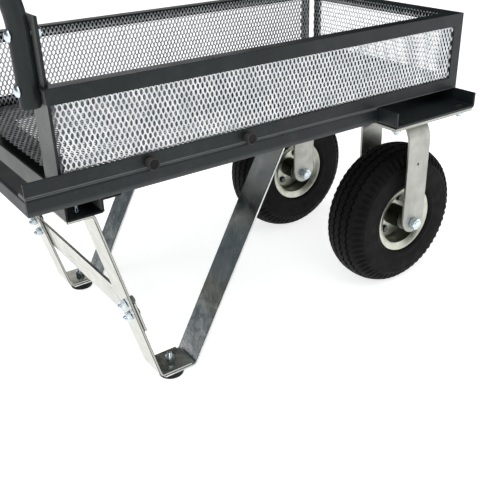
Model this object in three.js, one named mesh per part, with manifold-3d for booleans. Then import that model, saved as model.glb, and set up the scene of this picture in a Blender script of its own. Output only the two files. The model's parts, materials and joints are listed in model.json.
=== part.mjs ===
// A two-wheeled garden cart, in millimetres: +X towards the wheels, +Y to the far side, +Z up.
// A steel deck frame stands on two V-shaped flat-bar legs and two pneumatic wheels in fixed forks.
// Its sides are expanded metal, and a tube handle rises over the leg end.
import * as THREE from "three";
import { mergeVertices } from "three/addons/utils/BufferGeometryUtils.js";
import Module from "manifold-3d";

const wasm = await Module();
wasm.setup();

// Driving dimensions. x = 0 is the middle of the feet until the whole cart is centred at the end.
const GAP = 0.3; // clearance between pieces that touch
const BAR_WIDTH = 52; // flat bar of the legs, the brace and the corner posts
const BAR_THICK = 4;
const SHEET = 3; // wall of every folded section
const SHEET_BEND = 3; // bend radius of folded sheet, at its middle
const BEND_ROOM = 1; // what a square edge keeps from the inside of a bend

const HALF_WIDTH = 198.5; // outer face of the side rails
const LEG_END = -185;
const WHEEL_END = 577;
const RAIL_BOTTOM = 330.6;
const RAIL_TOP = 354.4;
const RAIL_FLANGE = 25;

const PANEL_BOTTOM = RAIL_TOP + GAP;
const PANEL_BAND = 19; // height of the angle that holds the mesh at its foot
const PANEL_TOP = 478;
const PANEL_FACE = HALF_WIDTH - 1.5; // the panels stand a little inside the rails
const PANEL_FLANGE = 20;
const MESH_THICK = 2.4;

const CHANNEL_X = [-140, -88]; // the cross channel over the front bars
const CHANNEL_BOTTOM = 311;
const CHANNEL_TAB = { length: 26, width: 25, thick: 2.4 }; // ears welded beside it, under the rails
const STRUT_MEMBER_X = [196, 250];
const STRUT_MEMBER_BOTTOM = 338;
const CASTER_CHANNEL_X = [391, WHEEL_END];
const CASTER_CHANNEL_BOTTOM = 329;
const CASTER_CHANNEL_HALF = 240;
const CASTER_WALL = 4;

const FOOT_Y = 168.8; // middle of each leg
const FOOT_RADIUS = 20.2;
const FOOT_HEIGHT = 14.4;
const FOOT_HALF = 31.5; // half the length of a leg's foot flange
const LOWER_FLANGE_END = 23.5; // the rear bar's flange stops inside the front bar's bend
const FOOT_TOP = 23; // height at which the leg's bars leave the foot
const FRONT_SLOPE = -0.2534; // dx/dz of each leg's bars
const REAR_SLOPE = 0.5578;
const BEND = 6; // bend radius of the flat bar, at its middle
const LOWER_FLANGE_Z = FOOT_HEIGHT + GAP + BAR_THICK / 2; // middles of the bars' flat ends
const UPPER_FLANGE_Z = LOWER_FLANGE_Z + BAR_THICK + GAP;
const CHANNEL_FLANGE_Z = CHANNEL_BOTTOM - GAP - BAR_THICK / 2;
const MEMBER_FLANGE_Z = STRUT_MEMBER_BOTTOM - GAP - BAR_THICK / 2;

const BRACE_Z = [109, 161];
const BRACE_HALF = 194.5;
const BRACE_BOLT_Y = 173.5;
const BRACE_BOLT_Z = { lower: 132, upper: 154 };

const BOLT_RADIUS = 4; // M8 bolts of the legs and the brace
const BOLT_HEAD_RADIUS = 7.5;
const BOLT_HEAD_HEIGHT = 5.5;
const BOLT_NUT_RADIUS = 8;
const BOLT_NUT_HEIGHT = 7;
const STRUT_BOLT_X = -118;
const STRUT_BOLT_Y = 178;
const SOCKET_FLOOR = 3; // rubber left under the stud of a foot

const AXLE_X = 484;
const TRACK_HALF = 151.8;
const WHEEL_RADIUS = 130;
const TYRE_HALF = 43;
const RIM_RADIUS = 61.5; // edge of the rim flange
const RIM_EDGE = 38; // how far the flange's edge is from the wheel's middle
const RIM_LIP = 2.5;
const BEAD_RADIUS = 51; // a 4-inch rim
const RIM_WALL = 2.5;
const LAND_RADIUS = 43.5; // the flat disc where the two rim halves are bolted together
const HUB_RADIUS = 19;
const HUB_HALF = 53;
const AXLE_RADIUS = 6.35;
const FORK_WIDTH = 50;
const FORK_THICK = 4.5;
const FORK_OUTER = 58.5; // fork arm's outer face from the wheel's middle
const FORK_BEND = 42;
const FORK_END_Z = 137; // middle of the arms' round ends
const PUNCH_Z = 240.5; // a small hole through the near arm of each fork
const PUNCH_RADIUS = 2.2;
const PLATE_THICK = 5;
const PLATE_HALF_X = 91;
const PLATE_HALF_Y = 86;
const PLATE_Z = [CASTER_CHANNEL_BOTTOM - GAP - PLATE_THICK, CASTER_CHANNEL_BOTTOM - GAP];
const AXLE_HEAD_RADIUS = 11;
const AXLE_HEAD_HEIGHT = 8;
const AXLE_NUT_HEIGHT = 10;
const AXLE_TAIL = 15; // thread beyond the fork

const POST_X = [CHANNEL_X[0] + SHEET + GAP, CHANNEL_X[0] + SHEET + GAP + BAR_THICK];
const POST_Y = [138, 186.5];
const POST_TOP = 556;
const POST_SLOT = 0.6; // clearance of the slots that the posts pass through
const HANDLE_RADIUS = 12.7;
const HANDLE_FOOT_X = POST_X[0] - GAP - HANDLE_RADIUS;
const HANDLE_FOOT_Z = 456;
const HANDLE_BEND_Z = 575;
const HANDLE_BEND_REACH = 25; // from the bend's corner to where it starts and ends
const HANDLE_TOP = { x: -330, z: 905 };
const CROSSBAR_HALF = FOOT_Y + HANDLE_RADIUS + 4;
const GRIP_RADIUS = 17;
const GRIP_HALF = 120;

const BUMPER_X = [-17.5, 137.5];
const BUMPER_Z = 362.6;
const BUMPER_RADIUS = 7.8;
const BUMPER_DEPTH = 12.5;

const FLOOR_HALF = PANEL_FACE - SHEET - MESH_THICK - 2 * GAP - 1;
const FLOOR_X = [POST_X[1] + POST_SLOT, WHEEL_END - SHEET - 2 * GAP];
const FLOOR_Z = [PANEL_BOTTOM + SHEET + GAP, PANEL_BOTTOM + SHEET + GAP + MESH_THICK];

const finish = (color, roughness, metalness) =>
  new THREE.MeshStandardMaterial({ color, roughness, metalness });
const PAINT = finish(0x3c4144, 0.5, 0.1);
const ZINC = finish(0xc3c7c9, 0.35, 0.9);
const RUBBER = finish(0x1b1b1b, 0.85, 0);
const TYRE = finish(0x202020, 0.9, 0);
const MESH_METAL = finish(0xb9bdc0, 0.45, 0.8);

const cart = new THREE.Group();

// A closed geometry as a solid, and back.
function solid(geometry) {
  const bare = new THREE.BufferGeometry();
  bare.setAttribute("position", geometry.getAttribute("position").clone());
  if (geometry.index) bare.setIndex(geometry.index.clone());
  const merged = mergeVertices(bare, 1e-3);
  return new wasm.Manifold(
    new wasm.Mesh({
      numProp: 3,
      vertProperties: merged.attributes.position.array,
      triVerts: new Uint32Array(merged.index.array),
    }),
  );
}

function geometryOf(made) {
  const { numProp, numVert, vertProperties, triVerts } = made.getMesh();
  const points = new Float32Array(numVert * 3);
  for (let i = 0; i < numVert; i++) {
    points.set(vertProperties.subarray(i * numProp, i * numProp + 3), i * 3);
  }
  const geometry = new THREE.BufferGeometry();
  geometry.setAttribute("position", new THREE.BufferAttribute(points, 3));
  geometry.setIndex(new THREE.BufferAttribute(triVerts, 1));
  geometry.computeVertexNormals();
  return geometry;
}

const join = (...geometries) =>
  geometryOf(geometries.map(solid).reduce((all, next) => all.add(next)));

const cut = (geometry, ...tools) =>
  geometryOf(tools.map(solid).reduce((left, tool) => left.subtract(tool), solid(geometry)));

function add(name, geometry, material) {
  const mesh = new THREE.Mesh(geometry, material);
  mesh.name = name;
  cart.add(mesh);
}

// A box from two limits along each axis, in either order.
function slab([x0, x1], [y0, y1], [z0, z1]) {
  return new THREE.BoxGeometry(Math.abs(x1 - x0), Math.abs(y1 - y0), Math.abs(z1 - z0))
    .translate((x0 + x1) / 2, (y0 + y1) / 2, (z0 + z1) / 2);
}

// A round or many-sided bar along a line, from one point to another.
function bar(from, to, radius, sides = 20) {
  const a = new THREE.Vector3(...from);
  const b = new THREE.Vector3(...to);
  const along = b.clone().sub(a);
  const turn = new THREE.Quaternion()
    .setFromUnitVectors(new THREE.Vector3(0, 1, 0), along.clone().normalize());
  return new THREE.CylinderGeometry(radius, radius, along.length(), sides)
    .applyQuaternion(turn)
    .translate(...a.add(b).multiplyScalar(0.5).toArray());
}

// An outline in the X-Z plane, pushed along Y from y0 to y1.
function pushY(shape, y0, y1) {
  const geometry = new THREE.ExtrudeGeometry(shape, { depth: y1 - y0, bevelEnabled: false });
  const toWorld = new THREE.Matrix4().makeBasis(
    new THREE.Vector3(1, 0, 0),
    new THREE.Vector3(0, 0, 1),
    new THREE.Vector3(0, -1, 0),
  );
  return geometry.applyMatrix4(toWorld).translate(0, y1, 0);
}

// An outline in the Y-Z plane, pushed along X from x0 to x1.
function pushX(shape, x0, x1) {
  const geometry = new THREE.ExtrudeGeometry(shape, { depth: x1 - x0, bevelEnabled: false });
  const toWorld = new THREE.Matrix4().makeBasis(
    new THREE.Vector3(0, 1, 0),
    new THREE.Vector3(0, 0, 1),
    new THREE.Vector3(1, 0, 0),
  );
  return geometry.applyMatrix4(toWorld).translate(x0, 0, 0);
}

// The outline of a bent strip: its middle line is the given corners with round bends.
function stripOutline(corners, thick, bend) {
  const points = corners.map(([x, z]) => new THREE.Vector2(x, z));
  const middle = new THREE.Path();
  middle.moveTo(points[0].x, points[0].y);
  for (let i = 1; i < points.length - 1; i++) {
    const back = points[i - 1].clone().sub(points[i]).normalize();
    const on = points[i + 1].clone().sub(points[i]).normalize();
    const half = Math.acos(back.dot(on)) / 2;
    const reach = bend / Math.tan(half);
    const start = points[i].clone().addScaledVector(back, reach);
    const end = points[i].clone().addScaledVector(on, reach);
    const centre = back.clone().add(on).normalize()
      .multiplyScalar(bend / Math.sin(half)).add(points[i]);
    middle.lineTo(start.x, start.y);
    middle.absarc(
      centre.x, centre.y, bend,
      start.clone().sub(centre).angle(), end.clone().sub(centre).angle(),
      back.cross(on) > 0,
    );
  }
  const last = points[points.length - 1];
  middle.lineTo(last.x, last.y);

  const line = middle.getPoints(5).filter((p, i, all) => i === 0 || p.distanceTo(all[i - 1]) > 1e-3);
  const side = (sign) => line.map((p, i) => {
    const before = line[Math.max(i - 1, 0)];
    const after = line[Math.min(i + 1, line.length - 1)];
    const run = after.clone().sub(before).normalize();
    return new THREE.Vector2(p.x - sign * run.y * thick / 2, p.y + sign * run.x * thick / 2);
  });
  return new THREE.Shape([...side(1), ...side(-1).reverse()]);
}

// A ring or disc round a wheel's axle: [radius, distance outwards from the wheel's middle] pairs.
function turned(profile, middleY, outwards, segments) {
  const points = profile.map(([r, y]) => new THREE.Vector2(r, outwards * y));
  if (outwards < 0) points.reverse();
  return new THREE.LatheGeometry(points, segments).translate(AXLE_X, middleY, WHEEL_RADIUS);
}

// A point on the middle line of the front bar at a height, and `off` square to the bar from there.
const FRONT_LEAN = Math.hypot(1, FRONT_SLOPE);
const REAR_LEAN = Math.hypot(1, REAR_SLOPE);
function frontAt(z, off = 0) {
  const face = -FOOT_HALF + FRONT_SLOPE * (z - FOOT_TOP);
  return [
    face + (BAR_THICK / 2) * FRONT_LEAN + off / FRONT_LEAN,
    z - off * FRONT_SLOPE / FRONT_LEAN,
  ];
}

// The x of the rear bar's middle line at a height.
const rearAt = (z) => FOOT_HALF + REAR_SLOPE * (z - FOOT_TOP) + (BAR_THICK / 2) * REAR_LEAN;

const postBox = (s, room) => slab(
  [POST_X[0] - room, POST_X[1] + room],
  [s * (POST_Y[0] - room), s * (POST_Y[1] + room)],
  [CHANNEL_BOTTOM + SHEET + BEND_ROOM - room, POST_TOP + room],
);

const folded = (corners) => stripOutline(corners, SHEET, SHEET_BEND);

// Deck frame: folded sheet rails and cross-members.
function sideRail(s) {
  const web = s * (HALF_WIDTH - SHEET / 2);
  const flange = RAIL_TOP - SHEET / 2;
  const outline = folded([[web, RAIL_BOTTOM], [web, flange], [s * (HALF_WIDTH - RAIL_FLANGE), flange]]);
  return cut(pushX(outline, LEG_END, CASTER_CHANNEL_X[0] - GAP), postBox(s, POST_SLOT));
}

const MEMBER_HALF = HALF_WIDTH - SHEET - BEND_ROOM; // cross-members that end inside the rails
const MEMBER_TOP = RAIL_TOP - SHEET - GAP;

function legEndRail() {
  const web = LEG_END + SHEET / 2;
  const flange = MEMBER_TOP - SHEET / 2;
  const outline = folded([[web, RAIL_BOTTOM], [web, flange], [LEG_END + RAIL_FLANGE, flange]]);
  return pushY(outline, -MEMBER_HALF, MEMBER_HALF);
}

// The outline of an upright U between two x limits.
function troughOutline([x0, x1], bottom, top, thick, bend) {
  const [left, right, web] = [x0 + thick / 2, x1 - thick / 2, bottom + thick / 2];
  return stripOutline([[left, top], [left, web], [right, web], [right, top]], thick, bend);
}

function legChannel() {
  const [x0, x1] = CHANNEL_X;
  const outline = troughOutline(CHANNEL_X, CHANNEL_BOTTOM, MEMBER_TOP, SHEET, SHEET_BEND);
  const tabTop = RAIL_BOTTOM - GAP;
  const notches = [-1, 1].map((s) =>
    slab([x0 - 1, x1 + 1], [s * MEMBER_HALF, s * (HALF_WIDTH + 1)], [tabTop, MEMBER_TOP + 1]));
  const trough = cut(pushY(outline, -HALF_WIDTH, HALF_WIDTH), ...notches);
  const tabs = [-1, 1].map((s) => slab(
    [x1 - SHEET, x1 + CHANNEL_TAB.length],
    [s * HALF_WIDTH, s * (HALF_WIDTH - CHANNEL_TAB.width)],
    [tabTop - CHANNEL_TAB.thick, tabTop],
  ));
  return cut(join(trough, ...tabs), strutBoltHole(-1), strutBoltHole(1));
}

function strutBoltHole(s) {
  const at = (z) => [STRUT_BOLT_X, s * STRUT_BOLT_Y, z];
  return bar(at(CHANNEL_FLANGE_Z - BAR_THICK), at(CHANNEL_BOTTOM + BAR_THICK), BOLT_RADIUS + GAP, 12);
}

function strutMember() {
  const outline = troughOutline(STRUT_MEMBER_X, STRUT_MEMBER_BOTTOM, MEMBER_TOP, SHEET, SHEET_BEND);
  return pushY(outline, -MEMBER_HALF, MEMBER_HALF);
}

function casterChannel() {
  const outline = troughOutline(
    CASTER_CHANNEL_X, CASTER_CHANNEL_BOTTOM, RAIL_TOP, CASTER_WALL, CASTER_WALL,
  );
  return pushY(outline, -CASTER_CHANNEL_HALF, CASTER_CHANNEL_HALF);
}

// Mesh panels and the angle frames that hold them. An angle's corner is at the panel's face.
function angleOutline(face, inwards, height, up) {
  const leg = up > 0 ? PANEL_BAND : PANEL_FLANGE;
  const corners = [
    [0, 0], [0, leg], [SHEET, leg], [SHEET, SHEET], [PANEL_FLANGE, SHEET], [PANEL_FLANGE, 0],
  ];
  return new THREE.Shape(
    corners.map(([across, rise]) => new THREE.Vector2(face + inwards * across, height + up * rise)),
  );
}

function sideFrame(s) {
  const face = [s * PANEL_FACE, s * (PANEL_FACE - SHEET)];
  const made = join(
    pushX(angleOutline(s * PANEL_FACE, -s, PANEL_BOTTOM, 1), LEG_END, WHEEL_END),
    pushX(angleOutline(s * PANEL_FACE, -s, PANEL_TOP, -1), CHANNEL_X[0], WHEEL_END),
    slab(
      [WHEEL_END - PANEL_FLANGE, WHEEL_END], face,
      [PANEL_BOTTOM + PANEL_BAND / 2, PANEL_TOP - PANEL_FLANGE / 2],
    ),
  );
  return cut(made, postBox(s, POST_SLOT));
}

function sideMesh(s) {
  const outer = PANEL_FACE - SHEET - GAP;
  return slab(
    FLOOR_X,
    [s * outer, s * (outer - MESH_THICK)],
    [PANEL_BOTTOM + SHEET + BEND_ROOM, PANEL_TOP - SHEET - BEND_ROOM],
  );
}

const END_HALF = PANEL_FACE - PANEL_FLANGE - GAP; // the wheel-end panel fits between the sides

function wheelEndFrame() {
  const face = [WHEEL_END - SHEET, WHEEL_END];
  const upright = [PANEL_BOTTOM + PANEL_BAND / 2, PANEL_TOP - PANEL_FLANGE / 2];
  return join(
    pushY(angleOutline(WHEEL_END, -1, PANEL_BOTTOM, 1), -END_HALF, END_HALF),
    pushY(angleOutline(WHEEL_END, -1, PANEL_TOP, -1), -END_HALF, END_HALF),
    slab(face, [-END_HALF, -END_HALF + PANEL_FLANGE], upright),
    slab(face, [END_HALF - PANEL_FLANGE, END_HALF], upright),
  );
}

// Legs: two bent bars that overlap at the foot, and a rubber pad with a stud and its nut.
const studHole = (s, from) =>
  bar([0, s * FOOT_Y, from], [0, s * FOOT_Y, UPPER_FLANGE_Z + BAR_THICK], BOLT_RADIUS + GAP, 12);

// The holes for the brace's bolts, square to the front bar.
const braceHoles = (s) => Object.values(BRACE_BOLT_Z).map((z) => {
  const [[x0, z0], [x1, z1]] = [frontAt(z, -BAR_THICK), frontAt(z, 3 * BAR_THICK)];
  return bar([x0, s * BRACE_BOLT_Y, z0], [x1, s * BRACE_BOLT_Y, z1], BOLT_RADIUS + GAP, 12);
});

function frontStrut(s) {
  const outline = stripOutline(
    [
      [FOOT_HALF - 7, UPPER_FLANGE_Z],
      frontAt(UPPER_FLANGE_Z),
      frontAt(CHANNEL_FLANGE_Z),
      [CHANNEL_X[0] + 2, CHANNEL_FLANGE_Z],
    ],
    BAR_THICK, BEND,
  );
  const strip = pushY(outline, s * FOOT_Y - BAR_WIDTH / 2, s * FOOT_Y + BAR_WIDTH / 2);
  return cut(strip, studHole(s, 0), strutBoltHole(s), ...braceHoles(s));
}

function rearStrut(s) {
  const outline = stripOutline(
    [
      [-LOWER_FLANGE_END, LOWER_FLANGE_Z],
      [rearAt(LOWER_FLANGE_Z), LOWER_FLANGE_Z],
      [rearAt(MEMBER_FLANGE_Z), MEMBER_FLANGE_Z],
      [STRUT_MEMBER_X[1] - 6, MEMBER_FLANGE_Z],
    ],
    BAR_THICK, BEND,
  );
  const strip = pushY(outline, s * FOOT_Y - BAR_WIDTH / 2, s * FOOT_Y + BAR_WIDTH / 2);
  return cut(strip, studHole(s, 0));
}

function footPad(s) {
  const round = 1.5;
  const profile = [
    [0, 0],
    [FOOT_RADIUS - round, 0],
    [FOOT_RADIUS, round],
    [FOOT_RADIUS - 1.8, FOOT_HEIGHT],
    [0, FOOT_HEIGHT],
  ].map(([r, z]) => new THREE.Vector2(r, z));
  const pad = new THREE.LatheGeometry(profile, 32).rotateX(Math.PI / 2).translate(0, s * FOOT_Y, 0);
  return cut(pad, studHole(s, SOCKET_FLOOR));
}

// A hexagon bolt from the underside of its head to its tip, and a nut that has run onto it.
function hexBolt(from, to, radius, headRadius, headHeight) {
  const start = new THREE.Vector3(...from);
  const along = new THREE.Vector3(...to).sub(start).normalize();
  const headEnd = start.clone().addScaledVector(along, -headHeight);
  return join(
    bar(headEnd.toArray(), start.toArray(), headRadius, 6),
    bar(start.clone().addScaledVector(along, -1).toArray(), to, radius, 12),
  );
}

function hexNut(from, to, boltRadius, radius) {
  const a = new THREE.Vector3(...from);
  const b = new THREE.Vector3(...to);
  const run = b.clone().sub(a).normalize();
  const hole = bar(a.clone().sub(run).toArray(), b.clone().add(run).toArray(), boltRadius + GAP, 12);
  return cut(bar(from, to, radius, 6), hole);
}

function brace() {
  const off = BAR_THICK + GAP;
  const outline = stripOutline([frontAt(BRACE_Z[0], off), frontAt(BRACE_Z[1], off)], BAR_THICK, BEND);
  return cut(pushY(outline, -BRACE_HALF, BRACE_HALF), ...braceHoles(-1), ...braceHoles(1));
}

// Casters and wheels.
function forkOutline() {
  const top = PLATE_Z[0] - GAP;
  const reach = FORK_OUTER - FORK_THICK / 2;
  return stripOutline(
    [
      [-reach, FORK_END_Z],
      [-reach, top - FORK_THICK / 2],
      [reach, top - FORK_THICK / 2],
      [reach, FORK_END_Z],
    ],
    FORK_THICK, FORK_BEND,
  );
}

// The fork is a strip bent in the Y-Z plane, with its arms' ends rounded about the axle.
function fork(s) {
  const middleY = s * TRACK_HALF;
  const strip = pushY(forkOutline(), -FORK_WIDTH / 2, FORK_WIDTH / 2)
    .rotateZ(Math.PI / 2).translate(AXLE_X, middleY, 0);
  const ends = [-1, 1].map((side) => {
    const outer = middleY + side * FORK_OUTER;
    const inner = middleY + side * (FORK_OUTER - FORK_THICK);
    return bar([AXLE_X, inner, FORK_END_Z], [AXLE_X, outer, FORK_END_Z], FORK_WIDTH / 2, 32);
  });
  const drilled = (z, radius, reach) => bar(
    [AXLE_X, middleY - FORK_OUTER - 1, z], [AXLE_X, middleY + reach, z], radius, 16,
  );
  const axleHole = drilled(WHEEL_RADIUS, AXLE_RADIUS + GAP, FORK_OUTER + 1);
  return cut(join(strip, ...ends), axleHole, drilled(PUNCH_Z, PUNCH_RADIUS, 0));
}

// Half of a closed section, from the bead out to the middle of the tread.
const TYRE_HALF_PROFILE = [
  [BEAD_RADIUS + 0.1, RIM_EDGE - 8.4],
  [BEAD_RADIUS + 1.4, RIM_EDGE - 6],
  [BEAD_RADIUS + 5.2, RIM_EDGE - 3.5],
  [RIM_RADIUS + 0.4, RIM_EDGE - RIM_LIP - 0.4],
  [RIM_RADIUS + 1.4, RIM_EDGE + 1.5],
  [68, TYRE_HALF - 1.8],
  [82, TYRE_HALF - 0.2],
  [97, TYRE_HALF],
  [113, TYRE_HALF - 4],
  [123, TYRE_HALF - 13],
  [129, TYRE_HALF - 28],
];
const TYRE_PROFILE = [
  ...TYRE_HALF_PROFILE.map(([r, y]) => [r, -y]),
  [WHEEL_RADIUS, 0],
  ...TYRE_HALF_PROFILE.toReversed(),
  [TYRE_HALF_PROFILE[0][0], -TYRE_HALF_PROFILE[0][1]],
];

// Half of the split rim: the flat land that meets the other half, the barrel and the flange.
const BARREL_OUTER = BEAD_RADIUS - GAP;
const BARREL_INNER = BARREL_OUTER - RIM_WALL;
const RIM_HALF_PROFILE = [
  [HUB_RADIUS + GAP, GAP],
  [LAND_RADIUS + 2, GAP],
  [BARREL_OUTER, 8],
  [BARREL_OUTER, RIM_EDGE - 8],
  [BARREL_OUTER + 1.4, RIM_EDGE - 5.4],
  [BARREL_OUTER + 5.2, RIM_EDGE - 3],
  [RIM_RADIUS, RIM_EDGE - RIM_LIP],
  [RIM_RADIUS, RIM_EDGE],
  [BARREL_OUTER + 4, RIM_EDGE - 0.6],
  [BARREL_INNER + 1, RIM_EDGE - 4],
  [BARREL_INNER, RIM_EDGE - 8],
  [BARREL_INNER, 9],
  [LAND_RADIUS, SHEET],
  [HUB_RADIUS + GAP, SHEET],
  [HUB_RADIUS + GAP, GAP],
];

const HUB_PROFILE = [
  [AXLE_RADIUS + GAP, -HUB_HALF],
  [11, -HUB_HALF],
  [11, -HUB_HALF + 12],
  [HUB_RADIUS, -HUB_HALF + 12],
  [HUB_RADIUS, HUB_HALF - 12],
  [11, HUB_HALF - 12],
  [11, HUB_HALF],
  [AXLE_RADIUS + GAP, HUB_HALF],
  [AXLE_RADIUS + GAP, -HUB_HALF],
];

for (const [side, s] of [["near", -1], ["far", 1]]) {
  add(`${side}_side_rail`, sideRail(s), PAINT);
  add(`${side}_side_frame`, sideFrame(s), PAINT);
  add(`${side}_side_mesh`, sideMesh(s), MESH_METAL);
  add(`${side}_corner_post`, postBox(s, 0), PAINT);

  add(`${side}_front_strut`, frontStrut(s), ZINC);
  add(`${side}_rear_strut`, rearStrut(s), ZINC);
  add(`${side}_foot_pad`, footPad(s), RUBBER);
  const stud = (z) => [0, s * FOOT_Y, z];
  const flangeTop = UPPER_FLANGE_Z + BAR_THICK / 2 + GAP;
  const studTop = flangeTop + 2 * BOLT_NUT_HEIGHT;
  add(`${side}_foot_stud`, bar(stud(SOCKET_FLOOR + GAP), stud(studTop), BOLT_RADIUS, 12), ZINC);
  add(
    `${side}_foot_nut`,
    hexNut(stud(flangeTop), stud(flangeTop + BOLT_NUT_HEIGHT), BOLT_RADIUS, BOLT_HEAD_RADIUS),
    ZINC,
  );
  const strutBolt = (z) => [STRUT_BOLT_X, s * STRUT_BOLT_Y, z];
  add(
    `${side}_strut_bolt`,
    hexBolt(
      strutBolt(CHANNEL_FLANGE_Z - BAR_THICK / 2 - GAP), strutBolt(CHANNEL_BOTTOM + SHEET + 12),
      BOLT_RADIUS, BOLT_HEAD_RADIUS, BOLT_HEAD_HEIGHT,
    ),
    ZINC,
  );

  for (const [row, z] of Object.entries(BRACE_BOLT_Z)) {
    const at = (off) => {
      const [x, up] = frontAt(z, off);
      return [x, s * BRACE_BOLT_Y, up];
    };
    const headFace = 1.5 * BAR_THICK + 2 * GAP;
    const nutFace = -BAR_THICK / 2 - GAP;
    add(
      `${side}_${row}_brace_bolt`,
      hexBolt(at(headFace), at(nutFace - 11), BOLT_RADIUS, BOLT_HEAD_RADIUS, BOLT_HEAD_HEIGHT),
      ZINC,
    );
    add(
      `${side}_${row}_brace_nut`,
      hexNut(at(nutFace), at(nutFace - BOLT_NUT_HEIGHT), BOLT_RADIUS, BOLT_NUT_RADIUS),
      ZINC,
    );
  }

  for (const [i, x] of BUMPER_X.entries()) {
    const face = s * (PANEL_FACE + GAP);
    add(
      `${side}_bumper_${i + 1}`,
      bar([x, face, BUMPER_Z], [x, face + s * BUMPER_DEPTH, BUMPER_Z], BUMPER_RADIUS, 24),
      RUBBER,
    );
  }

  const middleY = s * TRACK_HALF;
  const plateX = [AXLE_X - PLATE_HALF_X, AXLE_X + PLATE_HALF_X];
  const plateY = [middleY - PLATE_HALF_Y, middleY + PLATE_HALF_Y];
  add(`${side}_caster_plate`, slab(plateX, plateY, PLATE_Z), ZINC);
  add(`${side}_fork`, fork(s), ZINC);
  const axle = (y) => [AXLE_X, middleY + y, WHEEL_RADIUS];
  const forkFace = FORK_OUTER + GAP;
  add(
    `${side}_axle_bolt`,
    hexBolt(axle(forkFace), axle(-forkFace - AXLE_TAIL), AXLE_RADIUS, AXLE_HEAD_RADIUS, AXLE_HEAD_HEIGHT),
    ZINC,
  );
  add(
    `${side}_axle_nut`,
    hexNut(axle(-forkFace), axle(-forkFace - AXLE_NUT_HEIGHT), AXLE_RADIUS, AXLE_HEAD_RADIUS),
    ZINC,
  );
  add(`${side}_tyre`, turned(TYRE_PROFILE, middleY, 1, 48), TYRE);
  add(`${side}_rim_outer`, turned(RIM_HALF_PROFILE, middleY, s, 36), ZINC);
  add(`${side}_rim_inner`, turned(RIM_HALF_PROFILE, middleY, -s, 36), ZINC);
  add(`${side}_hub`, turned(HUB_PROFILE, middleY, 1, 24), ZINC);
}

add("leg_end_rail", legEndRail(), PAINT);
add("leg_channel", legChannel(), PAINT);
add("strut_cross_member", strutMember(), PAINT);
add("caster_channel", casterChannel(), PAINT);
add("leg_brace", brace(), ZINC);
add("floor_mesh", slab(FLOOR_X, [-FLOOR_HALF, FLOOR_HALF], FLOOR_Z), MESH_METAL);
add("wheel_end_frame", wheelEndFrame(), PAINT);
add(
  "wheel_end_mesh",
  slab(
    [WHEEL_END - SHEET - GAP - MESH_THICK, WHEEL_END - SHEET - GAP],
    [-END_HALF + GAP, END_HALF - GAP],
    [FLOOR_Z[1] + GAP, PANEL_TOP - SHEET - BEND_ROOM],
  ),
  MESH_METAL,
);

// Handle: a bent tube up from each corner post, a crossbar over their ends and a foam grip.
for (const [side, s] of [["near", -1], ["far", 1]]) {
  const foot = new THREE.Vector3(HANDLE_FOOT_X, s * FOOT_Y, HANDLE_FOOT_Z);
  const corner = new THREE.Vector3(HANDLE_FOOT_X, s * FOOT_Y, HANDLE_BEND_Z);
  const top = new THREE.Vector3(HANDLE_TOP.x, s * FOOT_Y, HANDLE_TOP.z);
  const lean = top.clone().sub(corner).normalize();
  const bendStart = corner.clone().add(new THREE.Vector3(0, 0, -HANDLE_BEND_REACH));
  const bendEnd = corner.clone().addScaledVector(lean, HANDLE_BEND_REACH);
  const path = new THREE.CurvePath();
  path.add(new THREE.LineCurve3(foot, bendStart));
  path.add(new THREE.QuadraticBezierCurve3(bendStart, corner, bendEnd));
  path.add(new THREE.LineCurve3(bendEnd, top.addScaledVector(lean, -HANDLE_RADIUS - GAP)));
  const section = new THREE.Shape().absarc(0, 0, HANDLE_RADIUS, 0, 2 * Math.PI);
  add(
    `${side}_handle_arm`,
    new THREE.ExtrudeGeometry(section, { steps: 14, extrudePath: path, curveSegments: 8 }),
    PAINT,
  );
}

const alongCrossbar = (half) => [-half, half].map((y) => [HANDLE_TOP.x, y, HANDLE_TOP.z]);
add("handle_crossbar", bar(...alongCrossbar(CROSSBAR_HALF), HANDLE_RADIUS), PAINT);
const gripBore = bar(...alongCrossbar(GRIP_HALF + 1), HANDLE_RADIUS + GAP);
add("handle_grip", cut(bar(...alongCrossbar(GRIP_HALF), GRIP_RADIUS), gripBore), RUBBER);

// Centre the cart on its own length.
const extent = new THREE.Box3().setFromObject(cart);
cart.position.x = -(extent.min.x + extent.max.x) / 2;

export default cart;
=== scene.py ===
import json
import math

import bpy
from mathutils import Matrix, Vector


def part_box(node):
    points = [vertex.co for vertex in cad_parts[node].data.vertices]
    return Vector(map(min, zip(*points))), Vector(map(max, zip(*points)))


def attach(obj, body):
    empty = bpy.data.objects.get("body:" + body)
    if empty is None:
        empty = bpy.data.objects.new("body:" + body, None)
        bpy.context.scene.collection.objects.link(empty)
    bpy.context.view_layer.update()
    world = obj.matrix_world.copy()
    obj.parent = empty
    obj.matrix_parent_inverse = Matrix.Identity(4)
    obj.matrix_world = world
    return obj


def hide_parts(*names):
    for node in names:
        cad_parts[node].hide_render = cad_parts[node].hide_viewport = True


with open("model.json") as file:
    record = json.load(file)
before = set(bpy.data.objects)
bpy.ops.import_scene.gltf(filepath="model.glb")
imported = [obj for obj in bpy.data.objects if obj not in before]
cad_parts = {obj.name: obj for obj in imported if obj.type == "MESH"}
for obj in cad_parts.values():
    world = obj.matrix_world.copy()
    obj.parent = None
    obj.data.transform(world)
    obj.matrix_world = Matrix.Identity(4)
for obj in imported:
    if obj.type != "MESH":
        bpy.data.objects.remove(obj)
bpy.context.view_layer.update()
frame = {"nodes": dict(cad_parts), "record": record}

NODES = frame["nodes"]
MM = 0.001
SIDES = (("near", -1), ("far", 1))  # a side's name, and the sign of its Y
X, Y, Z = Vector((1, 0, 0)), Vector((0, 1, 0)), Vector((0, 0, 1))

# ---------------------------------------------------------------- materials


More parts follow.
